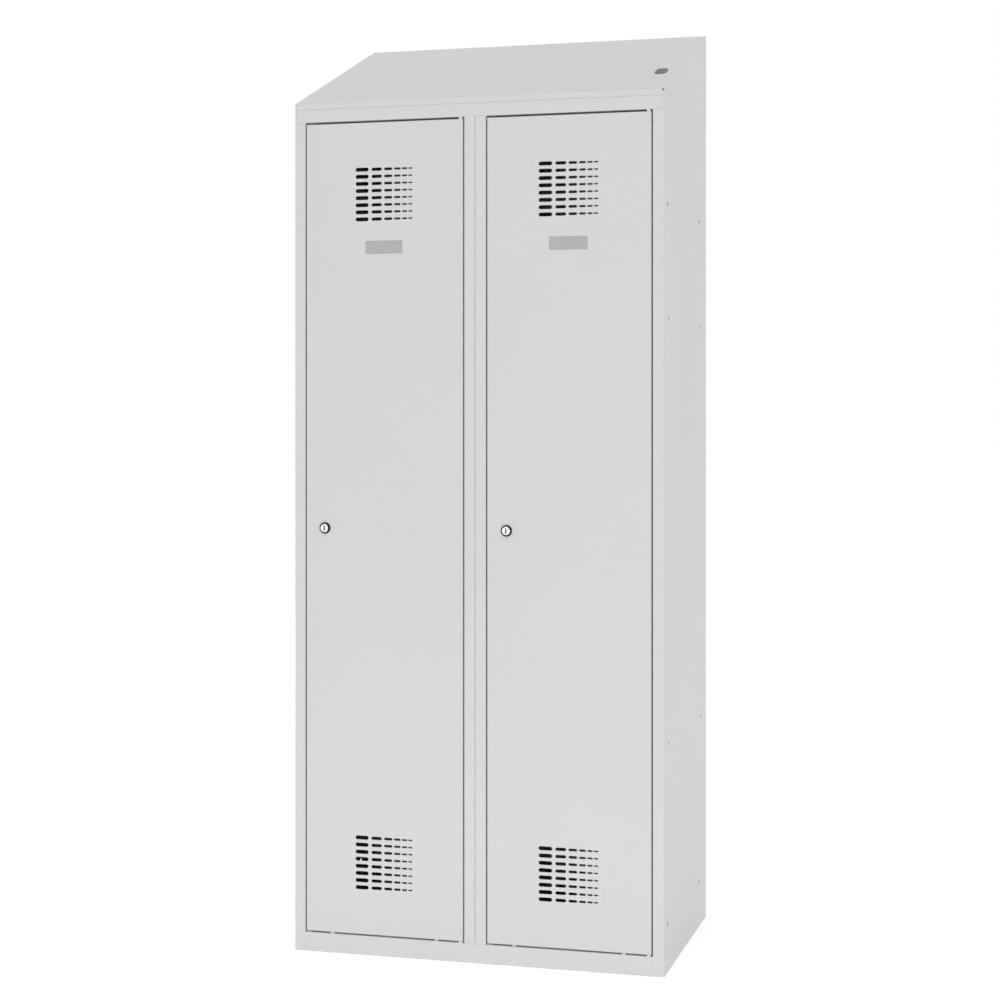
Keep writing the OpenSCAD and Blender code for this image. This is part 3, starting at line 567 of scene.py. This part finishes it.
def dress(piece, name, slot, body, *replaced, material=None, angle=35):
    """Names a piece, gives it its finish, joins it to its body and hides the CAD nodes it stands for."""
    only(piece)
    bpy.ops.object.shade_smooth_by_angle(angle=math.radians(angle))
    piece.name = piece.data.name = name
    piece.data.materials.clear()
    piece.data.materials.append(material or FINISHES[slot])
    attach(piece, body)
    if replaced:
        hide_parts(*replaced)
    return piece


def middle_of(name):
    low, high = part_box(name)
    return (low + high) / 2


# Lock: black body with its threaded barrel, bright plug with keyway and shutter, nut, cam screw

def lock_body():
    """The collar, which stands on z = 0, and the threaded barrel below it, open in the middle."""
    bore, barrel, end = 6.58, 9.0, -21.6
    pitch, thread_end = 1.5, -2.2
    rings = [(bore, end), (barrel - 0.6, end), (barrel - 0.1, end + 0.5)]
    z = end + 0.9
    while z < thread_end:
        rings += [(barrel, z), (barrel - 0.45, z + 0.62), (barrel, z + 1.24)]
        z += pitch
    rings += [(barrel, -0.6), (barrel, 0.0), (11.9, 0.0), (12.15, 0.15), (12.15, 0.75), (11.95, 1.35),
              (10.35, 3.95), (10.0, 4.3), (9.6, 4.42), (9.1, 4.3), (8.85, 4.05), (8.83, 3.7),
              (8.83, -1.1), (bore, -1.1), (bore, end)]
    return turned(rings, 64, ring_shape=True)


def lock_plug():
    """The plug with its grooved face and keyway, and the square end that drives the cam."""
    face = turned([(6.5, -23.2), (6.5, -1.02), (8.75, -1.02), (8.75, 2.4), (8.3, 2.4), (8.3, 4.85),
                   (8.15, 5.0), (7.55, 5.0), (7.5, 4.75), (7.2, 4.75), (7.15, 4.95), (4.0, 4.98),
                   (1.0, 5.0)], 64)
    block((2.8, 12.4, 15.0), (0, 0, -1.5))
    pick("EDGE", lambda at, facing: abs(at.z + 1.5) < 0.1)
    bpy.ops.mesh.bevel(offset=1.35 * MM, segments=6)
    cut(face, leave())
    drive = block((7.0, 7.0, 2.4), (0, 0, -24.4))
    leave()
    round_edges(drive, 0.3, 2)
    return joined(face, drive)


def keyway_shutter():
    """The plate that closes the keyway, dark with the painted shade of the keyway."""
    plate = block((2.7, 12.2, 0.6), (0, 0, 3.9))
    pick("FACE", lambda at, facing: facing.z > 0.9)
    bpy.ops.mesh.inset(thickness=0.35 * MM)
    bpy.ops.transform.translate(value=(0, 0, 0.25 * MM))
    leave()
    return plate


def hex_nut(across_flats, thick, bore):
    """A nut that lies on z = 0 with chamfered corners."""
    corner = across_flats / 2 / math.cos(math.radians(30))
    rings = [(bore, 0), (across_flats / 2, 0), (corner + 0.1, 0.85), (corner + 0.1, thick - 0.85),
             (across_flats / 2, thick), (bore + 0.4, thick), (bore, thick - 0.4), (bore, 0)]
    nut = turned(rings, 60, ring_shape=True)
    prism = turned([(corner, -1), (corner, thick + 1)], 6)
    return cut(nut, put(prism, (0, 0, 0), (0, 0, math.radians(30))), "INTERSECT")


def pan_screw(head_r, head_t, shank_r, shank_l):
    """A pan-head screw whose head stands up from z = 0, with a cross recess."""
    r, t = head_r, head_t
    screw = turned([(shank_r * 0.6, -shank_l), (shank_r, -shank_l + shank_r * 0.5), (shank_r, 0), (r, 0),
                    (r, t * 0.35), (r * 0.93, t * 0.65), (r * 0.76, t * 0.88), (r * 0.5, t),
                    (r * 0.1, t)], 40)
    for turn in (0, QUARTER):
        arm = block((r * 1.05, r * 0.24, t * 1.1), (0, 0, t))
        pick("FACE", lambda at, facing: facing.z < -0.9)
        bpy.ops.transform.resize(value=(0.45, 0.6, 1), center_override=(0, 0, t * 0.45 * MM))
        leave()
        cut(screw, put(arm, (0, 0, 0), (0, 0, turn)))
    return screw


def fit_locks():
    axis = middle_of("lock_plug_right")
    face = Vector((axis.x, DOOR[0].y, axis.z))
    out = (QUARTER, 0, 0)
    inwards = (-QUARTER, 0, 0)
    screw_at = Vector((axis.x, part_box("lock_cam_right")[1].y, axis.z))
    nut_at = Vector((axis.x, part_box("lock_nut_right")[0].y, axis.z))
    collar = put(lock_body(), face, out)
    nut = put(hex_nut(across_flats=24, thick=4, bore=9.05), nut_at, inwards)
    plug = put(lock_plug(), face, out)
    shutter = put(keyway_shutter(), face, out)
    screw = put(pan_screw(head_r=4.5, head_t=2.5, shank_r=2.0, shank_l=8.0), screw_at, inwards)
    made = (
        (collar, "lock_body", "lock_black", "door", "lock_barrel", None),
        (nut, "lock_nut_hex", "zinc_steel", "door", "lock_nut", None),
        (plug, "lock_face", "lock_chrome", "lock", "lock_plug", None),
        (shutter, "keyway_shutter", "lock_chrome", "lock", None, SHUTTER_SHADE),
        (screw, "cam_screw_pan", "zinc_steel", "lock", "cam_screw", None),
    )
    for piece, name, slot, body, stands_for, material in made:
        left = another(piece, (-PAIR, 0, 0))
        for part, side in ((piece, "right"), (left, "left")):
            nodes = [f"{stands_for}_{side}"] if stands_for else []
            dress(part, f"{name}_{side}", slot, f"{body}_{side}", *nodes, material=material)


# Label plate: a thin plate with a raised rim round its bare field

def label_plate():
    low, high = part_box("label_plate_right")
    size = (high - low) / MM
    plate = block((size.x, size.z, size.y), (0, 0, size.y / 2))
    pick("FACE", lambda at, facing: facing.z > 0.9)
    bpy.ops.mesh.inset(thickness=1.5 * MM)
    bpy.ops.mesh.inset(thickness=0.35 * MM)
    bpy.ops.transform.translate(value=(0, 0, -0.35 * MM))
    pick("EDGE", lambda at, facing: abs(at.x) > size.x / 2 - 0.1 and abs(at.z - size.y / 2) < 0.01)
    bpy.ops.mesh.bevel(offset=1.5 * MM, segments=4)
    leave()
    return round_edges(plate, 0.12, 2, 50)


def fit_labels():
    low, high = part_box("label_plate_right")
    right = put(label_plate(), ((low.x + high.x) / 2, high.y, (low.z + high.z) / 2), (QUARTER, 0, 0))
    left = another(right, (-PAIR, 0, 0))
    for piece, side in ((right, "right"), (left, "left")):
        dress(piece, f"label_holder_{side}", "label_plastic", f"door_{side}", f"label_plate_{side}")


# Blanking plug in the sloping top

CAP_THICK = 1.6


def roof_plug_cap():
    """An oblong cap lying on z = 0 with a rounded edge, its hollow stem below, made lengthways along Y."""
    width, length = 25.0, 48.0
    parts = []
    for inset, bottom, top in ((0.0, 0.0, 1.0), (2.55, -5.0, 0.5)):
        deselect()
        bpy.ops.mesh.primitive_circle_add(vertices=48, radius=(width / 2 - inset) * MM, fill_type="NGON",
                                          enter_editmode=True)
        for sign in (-1, 1):
            pick("VERT", lambda at, facing: sign * at.y > 0.01)
            bpy.ops.transform.translate(value=(0, sign * (length - width) / 2 * MM, 0))
        bpy.ops.mesh.select_mode(type="FACE")
        bpy.ops.mesh.select_all(action="SELECT")
        bpy.ops.transform.translate(value=(0, 0, bottom * MM))
        bpy.ops.mesh.extrude_region_move(TRANSFORM_OT_translate={"value": (0, 0, (top - bottom) * MM)})
        if not inset:
            for lift, margin in ((0.3, 0.12), (0.2, 0.35), (0.1, 0.6)):
                bpy.ops.mesh.inset(thickness=margin * MM)
                bpy.ops.transform.translate(value=(0, 0, lift * MM))
            bpy.ops.mesh.inset(thickness=3.0 * MM)
            bpy.ops.mesh.inset(thickness=0.5 * MM)
            bpy.ops.transform.translate(value=(0, 0, -0.4 * MM))
        close_up()
        parts.append(leave())
    cap, stem = parts
    edit(stem)
    pick("FACE", lambda at, facing: facing.z < -0.9)
    bpy.ops.mesh.inset(thickness=2.0 * MM)
    bpy.ops.mesh.extrude_region_move(TRANSFORM_OT_translate={"value": (0, 0, 5.2 * MM)})
    leave()
    return cut(cap, stem, "UNION")


def fit_roof_plug():
    cad = NODES["roof_plug"].data
    up = max(cad.polygons, key=lambda face: face.area * face.normal.z).normal.copy()
    top = max(v.co.dot(up) for v in cad.vertices)
    rim = [v.co for v in cad.vertices if top - v.co.dot(up) < 0.00002]
    seat = sum(rim, Vector()) / len(rim) - up * CAP_THICK * MM
    tilt = (math.atan2(-up.y, up.z), 0, 0)
    dress(put(roof_plug_cap(), seat, tilt), "roof_blanking_plug", "plug_plastic", "carcass", "roof_plug")


# Fittings inside

HOOK_WIDE = 11.6
HOOK_THICK = 4.0
ARM_HEIGHT = -39.4


def hook_eye():
    """The band round the rail, an upright oval 12 mm wide along Z."""
    wide = 12
    deselect()
    bpy.ops.mesh.primitive_circle_add(vertices=48, radius=11.9 * MM, fill_type="NGON", enter_editmode=True)
    for sign in (-1, 1):
        pick("VERT", lambda at, facing: sign * at.y > 0.01)
        bpy.ops.transform.translate(value=(0, sign * 7.5 * MM, 0))
    bpy.ops.mesh.select_mode(type="FACE")
    bpy.ops.mesh.select_all(action="SELECT")
    bpy.ops.transform.translate(value=(0, 0, -wide / 2 * MM))
    bpy.ops.mesh.inset(thickness=4 * MM)
    bpy.ops.mesh.delete(type="ONLY_FACE")
    bpy.ops.mesh.select_all(action="SELECT")
    bpy.ops.mesh.extrude_region_move(TRANSFORM_OT_translate={"value": (0, 0, wide * MM)})
    close_up()
    return round_edges(leave(), 1.1, 3, 50)


def hook_arm(sign):
    """One arm: a rounded section swept through half a turn, with a swollen round tip."""
    bend = 14
    middle = (sign * bend * MM, ARM_HEIGHT * MM, 0)
    tip = (sign * 2 * bend * MM, ARM_HEIGHT * MM, 0)
    swelling = ((0.6, 1.22, 1.02), (0.8, 1.12, 1.01), (0.8, 0.97, 0.99), (0.6, 0.84, 0.95), (0.4, 0.68, 0.9),
                (0.2, 0.6, 0.85))
    deselect()
    bpy.ops.mesh.primitive_plane_add(size=MM, rotation=(QUARTER, 0, 0), enter_editmode=True)
    bpy.ops.transform.resize(value=(HOOK_THICK, 1, HOOK_WIDE), center_override=(0, 0, 0))
    bpy.ops.transform.translate(value=(0, ARM_HEIGHT * MM, 0))
    bpy.ops.mesh.bevel(offset=1.2 * MM, segments=3, affect="VERTICES")
    bpy.ops.mesh.select_mode(type="FACE")
    bpy.ops.mesh.select_all(action="SELECT")
    bpy.ops.mesh.spin(steps=20, angle=2 * QUARTER, center=middle, axis=(0, 0, -sign))
    for rise, thick, wide in swelling:
        bpy.ops.mesh.extrude_region_move(TRANSFORM_OT_translate={"value": (0, rise * MM, 0)})
        bpy.ops.transform.resize(value=(thick, 1, wide), center_override=tip)
    close_up()
    return leave()


def coat_hook():
    """Made round the rail's middle: the eye, a stem and two upturned arms."""
    hook = hook_eye()
    block((HOOK_THICK, 22.5, HOOK_WIDE), (0, -28.6, 0))
    pick("EDGE", lambda at, facing: abs(abs(at.x) - HOOK_THICK / 2) < 0.1
         and abs(abs(at.z) - HOOK_WIDE / 2) < 0.1)
    bpy.ops.mesh.bevel(offset=1.2 * MM, segments=3)
    for part in (leave(), hook_arm(1), hook_arm(-1)):
        cut(hook, part, "UNION")
    return hook


def fit_hooks():
    rail = middle_of("coat_rail_right")
    names = [f"{side}_{which}" for side in ("left", "right") for which in "ab"]
    spots = [Vector((middle_of(f"coat_hook_{name}").x, rail.y, rail.z)) for name in names]
    # the hook is made lying down: its Z comes to lie along the rail, its Y up and its X to the back
    for name, piece in zip(names, one_at_each(coat_hook(), (QUARTER, 0, QUARTER), spots)):
        dress(piece, f"sliding_hook_{name}", "hook_plastic", f"hook_{name}", f"coat_hook_{name}")


def fit_top_screws():
    """Six pan-head screws up through the ceiling."""
    cad = NODES["sloping_top_screws"].data
    head_height = 2.0
    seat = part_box("sloping_top_screws")[0].z + head_height * MM
    screw = pan_screw(head_r=3.6, head_t=head_height, shank_r=1.75, shank_l=7.6)
    places = {}
    for v in cad.vertices:
        for key, group in places.items():
            if abs(v.co.x - key[0]) < 0.01 and abs(v.co.y - key[1]) < 0.01:
                group.append(v.co)
                break
        else:
            places[(v.co.x, v.co.y)] = [v.co]
    middles = sorted(tuple(sum(group, Vector()) / len(group)) for group in places.values())
    spots = [Vector((middle[0], middle[1], seat)) for middle in middles]
    for number, piece in enumerate(one_at_each(screw, (2 * QUARTER, 0, 0), spots), 1):
        dress(piece, f"top_screw_{number}", "zinc_steel", "carcass", "sloping_top_screws")


def fit_buffers():
    """Domed rubber buffers on the stop lips."""
    low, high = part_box("door_buffers")
    radius = 4.0 * MM
    dome = turned([(3.7, 0.0), (4.0, 0.25), (4.0, 0.9), (3.7, 1.35), (2.9, 1.65), (1.6, 1.8), (0.6, 1.8)], 32)
    first = put(dome, (high.x - radius, high.y, low.z + radius), (QUARTER, 0, 0))
    rise = high.z - low.z - 2 * radius
    steps = ((0, 0, rise), (-PAIR, 0, 0), (-PAIR, 0, rise))
    for number, piece in enumerate([first] + [another(first, step) for step in steps], 1):
        dress(piece, f"rubber_buffer_{number}", "buffer_rubber", "carcass", "door_buffers")


bpy.context.scene.view_settings.view_transform = "Standard"
stand_camera()
studio_world(horizon=0.86, zenith=0.74)
soft_lamp("front lamp", at=(0.5, -7.0, 1.0), aim=(0, 0, 0.9), width=4.0, height=1.6, watts=66)
soft_lamp("side lamp", at=(7.0, -1.0, 1.2), aim=(0, 0, 0.9), width=3.0, height=1.6, watts=10)
soft_lamp("back lamp", at=(-1.4, 6.5, 1.6), aim=(-0.4, 0, 0.9), width=2.4, height=1.6, watts=30)
soft_lamp("floor lamp", at=(0.0, -0.9, 0.12), aim=(0, 0, 0.15), width=2.4, height=0.2, watts=0.8)
studio_floor()
paint_cad_nodes()
fit_locks()
fit_labels()
fit_roof_plug()
fit_hooks()
fit_top_screws()
fit_buffers()
